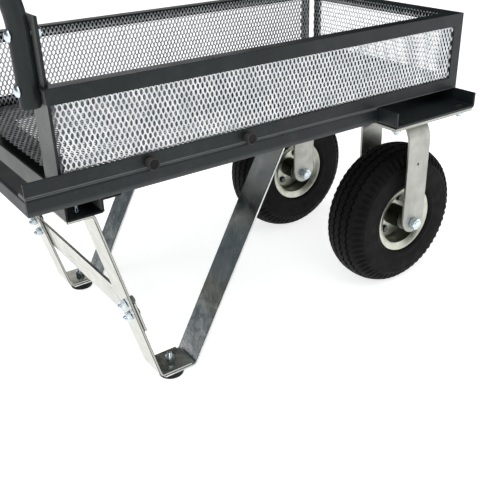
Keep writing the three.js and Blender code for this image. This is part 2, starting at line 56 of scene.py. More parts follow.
class Look:
    """A Principled material, with short calls for the nodes that feed it."""

    def __init__(self, name, **sockets):
        self.material = bpy.data.materials.new(name)
        self.material.use_nodes = True
        self.tree = self.material.node_tree
        self.shader = self.tree.nodes["Principled BSDF"]
        for socket, value in sockets.items():
            self.shader.inputs[socket.replace("_", " ")].default_value = value
        coordinates = self.add("ShaderNodeTexCoord")
        self.place, self.normal = coordinates.outputs["Object"], coordinates.outputs["Normal"]

    def add(self, kind, **values):
        node = self.tree.nodes.new(kind)
        for name, value in values.items():
            if hasattr(node, name):
                setattr(node, name, value)
            else:
                self.feed(node.inputs[name.replace("_", " ")], value)
        return node

    def feed(self, socket, value):
        if isinstance(value, bpy.types.NodeSocket):
            self.tree.links.new(value, socket)
        else:
            socket.default_value = value

    def stretched(self, scale):
        node = self.add("ShaderNodeMapping")
        self.feed(node.inputs["Vector"], self.place)
        node.inputs["Scale"].default_value = scale
        return node.outputs["Vector"]

    def axis(self, vector, index):
        node = self.add("ShaderNodeSeparateXYZ")
        self.feed(node.inputs[0], vector)
        return node.outputs[index]

    def noise(self, scale, detail=3.0, rough=0.5, stretch=None, distortion=0.0):
        node = self.add("ShaderNodeTexNoise", Scale=scale, Detail=detail, Roughness=rough)
        node.inputs["Distortion"].default_value = distortion
        self.feed(node.inputs["Vector"], self.stretched(stretch) if stretch else self.place)
        return node.outputs["Fac"]

    def ramp(self, value, *stops):
        node = self.add("ShaderNodeValToRGB")
        points = node.color_ramp.elements
        while len(points) < len(stops):
            points.new(0.5)
        for point, (at, colour) in zip(points, stops):
            point.position = at
            point.color = (*colour, 1) if isinstance(colour, tuple) else (colour,) * 3 + (1,)
        self.feed(node.inputs["Fac"], value)
        return node.outputs["Color"]

    def mix(self, a, b, factor, blend="MIX"):
        node = self.add("ShaderNodeMix", data_type="RGBA", blend_type=blend)
        for socket, value in ((node.inputs[0], factor), (node.inputs[6], a), (node.inputs[7], b)):
            self.feed(socket, (*value, 1) if isinstance(value, tuple) else value)
        return node.outputs[2]

    def maths(self, operation, a, b=0.0):
        node = self.add("ShaderNodeMath", operation=operation)
        self.feed(node.inputs[0], a)
        self.feed(node.inputs[1], b)
        return node.outputs[0]

    def above(self, height, scale):
        """How far a point is above `height`, in metres, times `scale`."""
        return self.maths("MULTIPLY", self.maths("SUBTRACT", self.axis(self.place, 2), height), scale)

    def colour(self, socket):
        self.feed(self.shader.inputs["Base Color"], socket)

    def roughness(self, value, low, high):
        node = self.add("ShaderNodeMapRange")
        self.feed(node.inputs["Value"], value)
        node.inputs["From Min"].default_value = 0.3
        node.inputs["From Max"].default_value = 0.7
        node.inputs["To Min"].default_value = low
        node.inputs["To Max"].default_value = high
        self.feed(self.shader.inputs["Roughness"], node.outputs["Result"])

    def bump(self, *layers):
        """Layers of (height, distance in metres), one over the other."""
        normal = None
        for height, distance in layers:
            node = self.add("ShaderNodeBump", Strength=1.0, Distance=distance, Height=height)
            if normal:
                self.feed(node.inputs["Normal"], normal)
            normal = node.outputs["Normal"]
        self.feed(self.shader.inputs["Normal"], normal)


RAIL_LOW, RAIL_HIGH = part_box("near_side_rail")
SEAM_HIGHLIGHT_DROP = 3.4 * MM  # the painted highlight on the rail's top bend starts this far below the rail's top
DUST = (0.085, 0.087, 0.084)
# Painted light on the rails: a paler band along the bottom edge, lit from the floor, and a highlight on the
# top bend.
BOTTOM_LIGHT_PAINT = (0.085, 0.09, 0.088)
SEAM_HIGHLIGHT_PAINT = (0.16, 0.168, 0.165)


def powder_coat(name, dark, light, painted_light_face=None, painted_rail_light=False, gloss=0.30):
    """Charcoal powder coat with orange peel and faint dust.

    A paler colour given for the end faces is painted on faces turned towards the handle, as the light falling
    on them. The rails' option paints a paler band along their bottom edge as light thrown up from the floor,
    and a painted highlight on their top bend.
    """
    look = Look(name, Specular_IOR_Level=gloss)
    cloud = look.noise(5, 3)
    speckle = look.noise(420, 2, 0.6)
    tone = look.ramp(cloud, (0.35, dark), (0.65, light))
    dust = look.ramp(look.noise(38, 5, 0.65), (0.50, 0.0), (0.74, 0.14))
    tone = look.mix(tone, DUST, dust)
    # Painted light: faces turned towards the handle are paler, as the light falls on them from that side.
    if painted_light_face:
        facing = look.maths("MULTIPLY", look.axis(look.normal, 0), -1.0)
        tone = look.mix(tone, painted_light_face, look.ramp(facing, (0.75, 0.0), (0.95, 1.0)))
    if painted_rail_light:
        # Painted light: a paler, patchy band along the rail's bottom edge, as light thrown up from the floor.
        bottom_light = look.ramp(look.above(RAIL_LOW.z, 100.0), (0.05, 0.85), (0.75, 0.0))
        patchy = look.ramp(cloud, (0.3, 0.6), (0.6, 1.0))
        tone = look.mix(tone, BOTTOM_LIGHT_PAINT, look.maths("MULTIPLY", bottom_light, patchy))
        # Painted highlight along the bend at the rail's top.
        seam_highlight = look.ramp(look.above(RAIL_HIGH.z - SEAM_HIGHLIGHT_DROP, 160.0),
                         (0.15, 0.0), (0.38, 0.9), (0.66, 0.9), (0.90, 0.0))
        tone = look.mix(tone, SEAM_HIGHLIGHT_PAINT, seam_highlight)
    look.colour(look.mix(tone, look.ramp(speckle, (0.3, 0.75), (0.7, 1.25)), 0.6, "MULTIPLY"))
    look.roughness(look.noise(30, 4), 0.36, 0.47)
    look.bump((look.noise(650, 2), 0.00005), (look.noise(60, 2), 0.0001))
    return look.material


def mill_zinc(name, dark, middle, light, side=None):
    """Plated mill-finish bar with soft cloudy patches and a few dark specks.

    `side` is a darker colour painted on the faces turned to either side, as shade on them.
    """
    look = Look(name, Metallic=1.0)
    patches = look.noise(24, 5, 0.62, distortion=0.8)
    tone = look.ramp(patches, (0.34, dark), (0.52, middle), (0.66, light))
    # Painted shade: faces turned to either side are darker.
    if side:
        across = look.maths("ABSOLUTE", look.axis(look.normal, 1))
        tone = look.mix(tone, side, look.ramp(across, (0.75, 0.0), (0.92, 1.0)))
    specks = look.ramp(look.noise(260, 2, 0.7), (0.66, 0.0), (0.80, 0.35))
    look.colour(look.mix(tone, (0.25, 0.26, 0.27), specks))
    look.roughness(look.noise(60, 5, 0.65, distortion=0.6), 0.13, 0.27)
    look.bump((look.noise(40, 3), 0.0003), (look.noise(300, 2), 0.00002))
    return look.material


def edge_shade_zinc():
    """Painted shade on a bar's rounded corners, which are rough with the burr of a sheared edge."""
    look = Look("edge_shade_zinc", Metallic=1.0)
    look.colour(look.ramp(look.noise(120, 4), (0.3, (0.03, 0.03, 0.03)), (0.7, (0.09, 0.09, 0.085))))
    look.roughness(look.noise(200, 3), 0.45, 0.6)
    look.bump((look.noise(500, 2), 0.00005))
    return look.material


def pressed_zinc(name, dark, light):
    """Bright plate on pressed steel, with short rub marks and a fine grain."""
    look = Look(name, Metallic=1.0)
    cloud = look.noise(30, 5, 0.6)
    tone = look.ramp(cloud, (0.32, dark), (0.68, light))
    rubs = look.ramp(look.noise(90, 3, 0.7, stretch=(3.0, 3.0, 0.35)), (0.60, 0.0), (0.72, 0.35))
    look.colour(look.mix(tone, tuple(0.55 * c for c in dark), rubs))
    look.roughness(look.noise(70, 4), 0.28, 0.45)
    look.bump((look.noise(500, 2), 0.00003), (look.noise(40, 2), 0.00015))
    return look.material


def bright_zinc():
    """Clear bluish plate on bolts and nuts."""
    look = Look("bright_zinc", Metallic=1.0)
    look.colour(look.ramp(look.noise(160, 4), (0.3, (0.60, 0.69, 0.75)), (0.7, (0.80, 0.86, 0.90))))
    look.roughness(look.noise(240, 3), 0.18, 0.34)
    look.bump((look.noise(700, 2), 0.00002))
    return look.material


def galvanised(name, dark, light):
    """Softly clouded galvanised steel."""
    look = Look(name, Metallic=1.0)
    look.colour(look.ramp(look.noise(55, 4), (0.3, dark), (0.7, light)))
    look.roughness(look.noise(90, 3), 0.30, 0.48)
    look.bump((look.noise(600, 2), 0.00004))
    return look.material


def black_rubber(name, base, grey, low, high, gloss=0.22):
    """Moulded rubber with a dusty bloom. `low` and `high` bound its roughness."""
    look = Look(name, Specular_IOR_Level=gloss)
    dust = look.ramp(look.noise(26, 5, 0.62), (0.42, 0.0), (0.72, 0.55))
    tone = look.mix(base, grey, dust)
    look.colour(look.mix(tone, look.ramp(look.noise(500, 2), (0.3, 0.7), (0.7, 1.3)), 0.7, "MULTIPLY"))
    look.roughness(look.noise(60, 4), low, high)
    look.bump((look.noise(520, 3), 0.00012), (look.noise(70, 2), 0.0001))
    return look.material


CHARCOAL = ((0.0095, 0.013, 0.014), (0.0155, 0.020, 0.021))
PAINT = powder_coat("powder_coat", *CHARCOAL)
# The rails carry painted light along their bottom edges and a painted highlight on their top bends.
RAIL_PAINT = powder_coat("rail_powder_coat", *CHARCOAL, painted_rail_light=True)
# The posts' faces towards the handle are painted paler, as painted light.
POST_LIT_FACE_PAINT = powder_coat("post_lit_face_coat", *CHARCOAL, painted_light_face=(0.155, 0.16, 0.155))
# The channel's near-black colours are painted shade, for its dark inside and its tabs under the rails; its
# end face is painted light.
CHANNEL_SHADE_LIGHT_PAINT = powder_coat("channel_shade_and_light_coat", (0.005, 0.006, 0.007), (0.009, 0.010, 0.011),
                            painted_light_face=(0.13, 0.135, 0.132), gloss=0.14)
LEG_ZINC = mill_zinc("mill_zinc", (0.44, 0.47, 0.48), (0.60, 0.615, 0.60), (0.72, 0.725, 0.70))
# The front struts and the brace are painted darker on their side faces, as painted shade.
FRONT_ZINC = mill_zinc("front_mill_zinc", (0.50, 0.50, 0.45), (0.57, 0.57, 0.51), (0.63, 0.63, 0.57),
                       side=(0.42, 0.42, 0.38))
LEG_EDGE_SHADE = edge_shade_zinc()
CASTER_ZINC = pressed_zinc("caster_zinc", (0.34, 0.345, 0.315), (0.45, 0.455, 0.42))
# A darker zinc for painted shade on the wheels' dish walls.
DISH_SHADE_ZINC = pressed_zinc("dish_shade_zinc", (0.19, 0.195, 0.16), (0.32, 0.325, 0.27))
WHEEL_ZINC = pressed_zinc("wheel_zinc", (0.47, 0.485, 0.41), (0.64, 0.65, 0.56))
# A near-black zinc for the hub: painted shade, deep inside the wheel.
HUB_SHADE_ZINC = pressed_zinc("hub_shade_zinc", (0.07, 0.07, 0.06), (0.13, 0.13, 0.11))
DARK_ZINC = pressed_zinc("dark_zinc", (0.08, 0.082, 0.085), (0.16, 0.165, 0.17))
BOLT_ZINC = bright_zinc()
MESH_METAL = galvanised("galvanised_mesh", (0.66, 0.68, 0.70), (0.86, 0.87, 0.88))
# The floor's mesh is darker than the sides' mesh.
FLOOR_METAL = galvanised("darker_floor_mesh", (0.22, 0.225, 0.23), (0.42, 0.425, 0.43))
TYRE_RUBBER = black_rubber("tyre_rubber", (0.0028, 0.0028, 0.0029), (0.0075, 0.0074, 0.0071), 0.55, 0.72,
                           gloss=0.13)
FOOT_RUBBER = black_rubber("foot_rubber", (0.005, 0.005, 0.005), (0.012, 0.012, 0.012), 0.45, 0.62)
# A paler rubber for the bumpers' sides: painted light on knobs that are black.
LIT_BUMPER_RUBBER = black_rubber("lit_bumper_rubber", (0.045, 0.042, 0.038), (0.085, 0.08, 0.072), 0.5, 0.68)
GRIP_RUBBER = black_rubber("grip_rubber", (0.013, 0.013, 0.014), (0.03, 0.03, 0.03), 0.5, 0.7)

# ---------------------------------------------------------------- mesh helpers


def piece(name, points, faces, material, body, replaces=(), sharp=35, inner=None):
    """`inner` is a second look and a test on a face's centre that says where it goes."""
    mesh = bpy.data.meshes.new(name)
    mesh.from_pydata([tuple(p) for p in points], [], [tuple(f) for f in faces])
    mesh.validate()
    mesh.materials.append(material)
    mesh.shade_smooth()
    mesh.set_sharp_from_angle(angle=math.radians(sharp))
    if inner:
        mesh.materials.append(inner[0])
        for face in mesh.polygons:
            face.material_index = int(inner[1](face.center))
    obj = bpy.data.objects.new(name, mesh)
    bpy.context.scene.collection.objects.link(obj)
    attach(obj, body)
    if replaces:
        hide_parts(*replaces)
    return obj


class Shell:
    """Points and faces gathered for one piece."""

    def __init__(self):
        self.points = []
        self.faces = []

    def rings(self, rings, close_ends=True, loop=False):
        """Joins rings of the same number of points, and caps the first and the last."""
        start = len(self.points)
        count = len(rings[0])
        for ring in rings:
            self.points.extend(Vector(p) for p in ring)
        total = len(rings)
        for i in range(total if loop else total - 1):
            a, b = start + i * count, start + (i + 1) % total * count
            for k in range(count):
                n = (k + 1) % count
                self.faces.append((a + k, a + n, b + n, b + k))
        if close_ends and not loop:
            self.faces.append(tuple(start + k for k in reversed(range(count))))
            last = start + (total - 1) * count
            self.faces.append(tuple(last + k for k in range(count)))
        return self

    def turned(self, profile, place, segments=32, loop=False):
        """A profile of (radius, along) turned about `place`'s own Z axis, in mm."""
        rings = []
        for radius, along in profile:
            ring = []
            for k in range(segments):
                angle = 2 * math.pi * k / segments
                local = Vector((radius * math.cos(angle), radius * math.sin(angle), along)) * MM
                ring.append(place @ local)
            rings.append(ring)
        return self.rings(rings, loop=loop)

    def hexagon(self, flat, height, place, chamfer_low=False, bore=0.0, segments=36):
        """A hexagon bar's end with turned chamfers: `flat` is half its width across flats, in mm."""
        def reach(k):
            turn = (2 * math.pi * k / segments) % (math.pi / 3) - math.pi / 6
            return flat / math.cos(turn)

        def ring(scale, along):
            return [place @ (Vector((scale(k) * math.cos(2 * math.pi * k / segments),
                                     scale(k) * math.sin(2 * math.pi * k / segments), along(k))) * MM)
                    for k in range(segments)]

        drop = [0.25 + 0.7 * (reach(k) - flat) for k in range(segments)]
        crown = flat * 0.94
        rings = []
        if bore:
            rings.append(ring(lambda k: bore, lambda k: 0))
        if chamfer_low:
            rings += [ring(lambda k: crown, lambda k: 0), ring(reach, lambda k: drop[k])]
        else:
            rings.append(ring(reach, lambda k: 0))
        rings += [ring(reach, lambda k: height - drop[k]), ring(lambda k: crown, lambda k: height)]
        if bore:
            rings.append(ring(lambda k: bore + 0.5, lambda k: height))
            rings.append(ring(lambda k: bore, lambda k: height - 0.5))
            return self.rings(rings, loop=True)
        return self.rings(rings)

    def thread(self, radius, low, high, place, pitch=1.25):
        """A threaded rod from `low` to `high` along `place`'s Z, with a chamfered tip, in mm."""
        profile = [(radius, low)]
        along = low
        while along + pitch < high - 0.8:
            profile += [(radius, along + 0.2 * pitch), (radius - 0.45, along + 0.55 * pitch),
                        (radius, along + 0.9 * pitch)]
            along += pitch
        profile += [(radius, high - 0.9), (radius - 0.9, high)]
        return self.turned(profile, place, 24)

    def washer(self, inner, outer, low, high, place):
        edge = 0.25
        profile = [(inner, low), (outer - edge, low), (outer, low + edge), (outer, high - edge),
                   (outer - edge, high), (inner, high)]
        return self.turned(profile, place, 36, loop=True)


def along(axis, origin):
    """A placement whose Z runs along `axis` from `origin`."""
    turn = Z.rotation_difference(Vector(axis)).to_matrix().to_4x4()
    return Matrix.Translation(origin) @ turn


def centre(node):
    low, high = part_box(node)
    return (low + high) / 2


# ---------------------------------------------------------------- CAD nodes that keep their shape

SLOT_LOOKS = {
    "frame_paint": PAINT, "leg_zinc": LEG_ZINC, "caster_zinc": CASTER_ZINC, "wheel_zinc": WHEEL_ZINC,
    "fastener_zinc": BOLT_ZINC, "mesh_metal": MESH_METAL, "tyre": TYRE_RUBBER, "rubber": FOOT_RUBBER,
    "grip_rubber": GRIP_RUBBER,
}
NODE_LOOKS = {"leg_channel": CHANNEL_SHADE_LIGHT_PAINT}
for side, _ in SIDES:
    NODE_LOOKS[f"{side}_side_rail"] = RAIL_PAINT
    NODE_LOOKS[f"{side}_side_frame"] = RAIL_PAINT
    NODE_LOOKS[f"{side}_corner_post"] = POST_LIT_FACE_PAINT
    NODE_LOOKS[f"{side}_front_strut"] = FRONT_ZINC
NODE_LOOKS["leg_brace"] = FRONT_ZINC
for part in frame["record"]["subparts"]:
    obj = NODES[part["node"]]
    obj.data.materials.clear()
    obj.data.materials.append(NODE_LOOKS.get(part["node"], SLOT_LOOKS[part["material_slot"]]))
    for face in obj.data.polygons:
        face.use_smooth = True

EDGE_ROUNDS = {"frame_paint": 0.55, "leg_zinc": 0.8, "caster_zinc": 0.7}  # in mm, by material slot
for part in frame["record"]["subparts"]:
    width = EDGE_ROUNDS.get(part["material_slot"])
    if width:
        obj = NODES[part["node"]]
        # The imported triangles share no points, so they are welded before their edges are rounded.
        weld = obj.modifiers.new("weld", "WELD")
        weld.merge_threshold = 0.005 * MM
        rounding = obj.modifiers.new("edges", "BEVEL")
        rounding.width = width * MM
        rounding.segments = 2
        rounding.limit_method = "ANGLE"
        rounding.angle_limit = math.radians(42)
        rounding.use_clamp_overlap = False
        if part["material_slot"] == "leg_zinc":
            # The leg bars' rounded corners take painted shade.
            obj.data.materials.append(LEG_EDGE_SHADE)
            rounding.material = 1
        shading = obj.modifiers.new("flat faces", "WEIGHTED_NORMAL")
        shading.weight = 100

# ---------------------------------------------------------------- expanded metal


def expanded_metal(name, corner, short_way, long_way, size, cell, node, look=MESH_METAL, gauge=0.8,
                   strand=1.3, bond=0.15, tilt=0.45):
    """A panel of diamonds. Each cell is a rhombus with a six-sided hole, and its strands are twisted.

    `size`, `cell`, `gauge`, `strand` and `tilt` are in mm, and `bond` is a share of a cell's height.
    """
    wide, tall = cell
    columns, rows = int(size[0] // (wide / 2)), int(size[1] // (tall / 2))
    wide, tall = size[0] / columns * 2, size[1] / rows * 2
    face_way = short_way.cross(long_way)
    points, faces, shared = [], [], {}

    def point(u, v, w):
        points.append(corner + (short_way * u + long_way * v + face_way * w) * MM)
        return len(points) - 1

    def lattice(i, j, w):
        if (i, j, w) not in shared:
            shared[i, j, w] = point(i * wide / 2, j * tall / 2, w)
        return shared[i, j, w]

    half_strand = strand / 2
    blunt = bond * tall
    tip = tall / 2 - blunt - half_strand * 1.2
    hole = [(0, tip, 0), (wide / 2 - strand, blunt * 0.8, -1), (wide / 2 - strand, -blunt * 0.8, -1),
            (0, -tip, 0), (strand - wide / 2, -blunt * 0.8, 1), (strand - wide / 2, blunt * 0.8, 1)]
    corners = [(0, 1), (1, 0), (0, -1), (-1, 0)]
    for i in range(1, columns):
        for j in range(1, rows):
            if (i + j) % 2 == 0:
                continue
            u, v = i * wide / 2, j * tall / 2
            layers = []
            for side in (1, -1):
                w = side * gauge / 2
                rim = [lattice(i + a, j + b, w) for a, b in corners]
                inner = [point(u + a, v + b, w + tilt * c) for a, b, c in hole]
                layers.append((rim, inner))
                top, right, bottom, left = rim
                quads = [(top, inner[0], inner[1], right), (right, inner[1], inner[2]),
                         (right, inner[2], inner[3], bottom), (bottom, inner[3], inner[4], left),
                         (left, inner[4], inner[5]), (left, inner[5], inner[0], top)]
                faces.extend(q if side < 0 else q[::-1] for q in quads)
            front, back = layers[0][1], layers[1][1]
            for k in range(6):
                n = (k + 1) % 6
                faces.append((front[k], front[n], back[n], back[k]))
            rims = [layer[0] for layer in layers]
            for k, (a, b) in enumerate(((0, 1), (1, 2), (2, 3), (3, 0))):
                di = (corners[a][0] + corners[b][0], corners[a][1] + corners[b][1])
                ni, nj = i + di[0], j + di[1]
                if not (0 < ni < columns and 0 < nj < rows):
                    faces.append((rims[0][b], rims[0][a], rims[1][a], rims[1][b]))
    return piece(name, points, faces, look, "chassis", [node], sharp=50)


SIDE_CELL = (7.1, 14.2)  # a diamond's width and height
FLOOR_CELL = (8.0, 16.0)
for side, _ in SIDES:
    low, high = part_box(f"{side}_side_mesh")
    corner = Vector((low.x, (low.y + high.y) / 2, low.z))
    expanded_metal(f"{side}_diamond_mesh", corner, X, Z, ((high.x - low.x) / MM, (high.z - low.z) / MM),
                   SIDE_CELL, f"{side}_side_mesh")
low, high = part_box("wheel_end_mesh")
corner = Vector(((low.x + high.x) / 2, low.y, low.z))
expanded_metal("wheel_end_diamond_mesh", corner, Y, Z, ((high.y - low.y) / MM, (high.z - low.z) / MM),
               SIDE_CELL, "wheel_end_mesh")
low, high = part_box("floor_mesh")
corner = Vector((low.x, low.y, (low.z + high.z) / 2))
expanded_metal("floor_diamond_mesh", corner, X, Y, ((high.x - low.x) / MM, (high.y - low.y) / MM),
               FLOOR_CELL, "floor_mesh", look=FLOOR_METAL, strand=2.1)

# ---------------------------------------------------------------- wheels

BEAD_RADIUS = 51.0
TYRE_HALF = 43.0  # half the tyre's width
SHOULDER_RADIUS = 95  # where the crown's curve starts at the tyre's side
CROWN_HEIGHT = 35  # from there to the middle of the tread
CROWN_POWER = 2.3  # how square the curve is
NICK_DEPTH = 4.4  # of the slots in the shoulder
TREAD_PERIODS = 60
STEPS = 6  # angular steps in each period of the tread


def crown(across):
    """The tyre's outer radius at a distance across from its middle."""
    t = min(abs(across) / TYRE_HALF, 1.0)
    return SHOULDER_RADIUS + CROWN_HEIGHT * (1 - t ** CROWN_POWER) ** (1 / CROWN_POWER)


def tyre_lines():
    """(radius, across) for each line round the tyre at one angular step of the tread's period."""
    grooves = (-21.0, -7.2, 7.2, 21.0)
    saw = (0.0, 0.9, 1.8, 2.7, 3.6, 1.8)  # a groove's zigzag, step by step
    nick = (0.8, 1, 0.8, 0, 0, 0)  # the share of a slot's depth at each step
    half_groove, depth = 1.6, 3.6
    steps = []
    for k in range(STEPS):
        lines = []
        for sign, order in ((-1, 1), (1, -1)):
            side = [
                (BEAD_RADIUS + 0.1, 29.5), (52.5, 32.0), (56.2, 34.4), (61.9, 35.2), (62.6, 37.5),
                (63.6, 39.3), (66.0, 40.5), (67.6, 40.4), (69.0, 41.3), (71.0, 41.5), (72.2, 41.1),
                (76.0, 41.9), (84.0, 42.6), (92.0, 42.9), (98.0, 42.9), (101.0, 42.5), (101.8, 42.9),
                (103.4, 42.6), (104.2, 41.9), (106.5, 41.6),
            ]
            cut = NICK_DEPTH * nick[(k + (3 if sign > 0 else 0)) % STEPS]
            slot = ((40.8, 0.15, 0.5), (39.4, 0.5, 0.5), (37.4, 0.8, 0.5), (35.0, 1.0, 0.2),
                    (32.2, 0.9, 0.0), (30.4, 0.3, 0.0))
            shoulder = [(crown(a) - cut * b, a - cut * c) for a, b, c in slot]
            shoulder.append((crown(28.6), 28.6 + 0.3 * saw[k]))
            half = side + shoulder
            lines.append([(r, sign * a) for r, a in half][::order])
        tread = []
        for number, middle in enumerate(grooves):
            shift = saw[(k + 3 * (number % 2)) % STEPS] - 1.8
            shift *= 1 if middle < 0 else -1
            for offset, cut in ((-half_groove - 0.5, 0), (-half_groove + 0.4, depth),
                                (half_groove - 0.4, depth), (half_groove + 0.5, 0)):
                across = middle + shift + offset
                tread.append((crown(across) - cut, across))
            if number < len(grooves) - 1:
                between = (middle + grooves[number + 1]) / 2
                tread.append((crown(between), between))
        steps.append(lines[0] + tread + lines[1])
    return steps


def make_tyre(name, place, body, node):
    steps = tyre_lines()
    rings = []
    count = TREAD_PERIODS * STEPS
    for k in range(count):
        angle = 2 * math.pi * k / count
        turn = (math.cos(angle), math.sin(angle))
        rings.append([place @ (Vector((r * turn[0], r * turn[1], a)) * MM) for r, a in steps[k % STEPS]])
    shell = Shell()
    shell.rings(rings, loop=True)
    return piece(name, shell.points, shell.faces, TYRE_RUBBER, body, [node], sharp=38)


RIM_PROFILE = [
    (19.3, 0.4), (43.6, 0.4), (46.2, 1.4), (49.6, 7.2), (50.6, 9.5), (50.7, 29.8), (51.4, 31.7),
    (53.6, 33.8), (56.4, 34.6), (60.2, 35.0), (61.3, 35.4), (61.7, 36.4), (61.4, 37.4), (60.6, 37.8),
    (59.6, 37.6), (49.3, 33.2), (48.5, 32.4), (48.2, 31.0), (48.1, 4.8), (47.4, 2.5), (46.2, 1.9),
    (45.0, 2.4), (44.4, 3.8), (43.9, 4.9), (43.0, 5.5), (41.8, 5.6), (24.5, 5.6), (22.5, 6.0), (19.3, 6.2),
]
HUB_PROFILE = [
    (7.0, -52.6), (9.6, -52.6), (10.6, -51.8), (10.6, -42.2), (14.6, -41.8), (15.4, -41.0), (18.2, -40.6),
    (19.0, -39.8), (19.0, 39.8), (18.2, 40.6), (15.4, 41.0), (14.6, 41.8), (10.6, 42.2), (10.6, 51.8),
    (9.6, 52.6), (7.0, 52.6),
]
LAND_BOLT_ANGLES = (-122, -32, 58, 148)
LAND_BOLT_REACH = 31.5
LAND_FACE = 6.6  # where the washers on the rim's land end, from the wheel's middle
VALVE_ANGLE = 20
VALVE_REACH = 37
VALVE_LEAN = 10
DISH_SHADE_RADII = (0.0437, 0.0487)  # the radii, in metres, between which a rim's dish wall is painted darker, as painted shade


def rim_fasteners(shell, place, nut_side):
    """The four short bolts that hold the rim halves together, with their nuts on the far half."""
    for angle in LAND_BOLT_ANGLES:
        a = math.radians(-angle if nut_side else angle)
        spot = place @ Matrix.Translation(Vector((math.cos(a), math.sin(a), 0)) * LAND_BOLT_REACH * MM)
        shell.washer(4.2, 7.2, 5.7, LAND_FACE, spot)
        seat = spot @ Matrix.Translation(Z * LAND_FACE * MM)
        if nut_side:
            shell.hexagon(5.0, 5.0, seat, chamfer_low=True, bore=3.2)
            shell.thread(3.0, 5.0, 14.0, spot, 1.0)
        else:
            shell.hexagon(5.0, 4.2, seat)


def valve(name, place, body):
    """A tyre valve on the rim's land: a black stem and its cap, turned as one."""
    a = math.radians(VALVE_ANGLE)
    foot = place @ Matrix.Translation(Vector((math.cos(a), math.sin(a), 0)) * VALVE_REACH * MM)
    lean = foot @ Matrix.Rotation(math.radians(VALVE_LEAN), 4, Vector((-math.sin(a), math.cos(a), 0)))
    shell = Shell().turned([(0.01, 4.8), (6.4, 4.8), (6.6, 5.9), (5.0, 6.8), (3.6, 8.4), (3.3, 12.0),
                            (2.9, 18.5), (3.9, 18.8), (4.1, 20.0), (4.1, 26.6), (3.4, 28.0), (0.01, 28.2)],
                           lean, 28)
    piece(name, shell.points, shell.faces, FOOT_RUBBER, body)


for side, s in SIDES:
    body = f"{side}_wheel"
    hub = centre(f"{side}_hub")
    # Local Z of a wheel's placement runs to the near side, and `flip` turns it to the far side.
    middle = Matrix.Translation(hub) @ Matrix(((1, 0, 0), (0, 0, 1), (0, -1, 0))).transposed().to_4x4()
    flip = Matrix.Rotation(math.pi, 4, "X")
    make_tyre(f"{side}_treaded_tyre", middle, body, f"{side}_tyre")
    for half, place in (("near", middle), ("far", middle @ flip)):
        outer = (half == "near") == (s < 0)
        name = "outer" if outer else "inner"
        rim = Shell().turned(RIM_PROFILE, place, 96, loop=True)
        studs = Shell()
        rim_fasteners(studs, place, nut_side=half == "far")
        piece(f"{side}_rim_bolts_{name}", studs.points, studs.faces, DARK_ZINC, body)
        # The dish's wall is painted darker, as the shade inside the dish.
        dish = (DISH_SHADE_ZINC,
                lambda at: DISH_SHADE_RADII[0] < math.hypot(at.x - hub.x, at.z - hub.z) < DISH_SHADE_RADII[1])
        piece(f"{side}_stamped_rim_{name}", rim.points, rim.faces, WHEEL_ZINC, body,
              [f"{side}_rim_{name}"], sharp=32, inner=dish)
        if outer:
            valve(f"{side}_valve_stem", place, body)
    # The hub's near-black zinc is painted shade.
    tube = Shell().turned(HUB_PROFILE, middle, 64, loop=True)
    piece(f"{side}_bearing_hub", tube.points, tube.faces, HUB_SHADE_ZINC, body, [f"{side}_hub"])

# ---------------------------------------------------------------- bolts and nuts

FRONT_LEAN = 0.2534  # how far a front strut goes towards the handle for each unit up
FRONT_NORMAL = Vector((1, 0, FRONT_LEAN)).normalized()
BRACE_NUT_HALF = 3.5  # half a brace nut's height
BRACE_STACK = 8.9  # from a brace nut's seat to its bolt's head, through the brace and the strut
M8, AXLE = 4.0, 6.35  # the radii of the 8 mm bolts and of the axle bolts


def bolt(name, node, head_face, direction, flat, head, radius, length, head_look=None):
    """A hexagon bolt: `head_face` is the underside of its head and `direction` points to its tip."""
    place = along(direction, head_face)
    back = place @ Matrix.Rotation(math.pi, 4, "X")
    shank = Shell().thread(radius, -0.5, length, place)
    top = Shell().hexagon(flat, head, back)
    piece(f"{name}_shank", shank.points, shank.faces, BOLT_ZINC, "chassis", [node])
    piece(f"{name}_head", top.points, top.faces, head_look or BOLT_ZINC, "chassis")


def nut(name, node, seat, direction, flat, height, radius):
    """A hexagon nut that stands on `seat` and rises along `direction`."""
    shell = Shell().hexagon(flat, height, along(direction, seat), chamfer_low=True, bore=radius + 0.15)
    piece(name, shell.points, shell.faces, BOLT_ZINC, "chassis", [node])


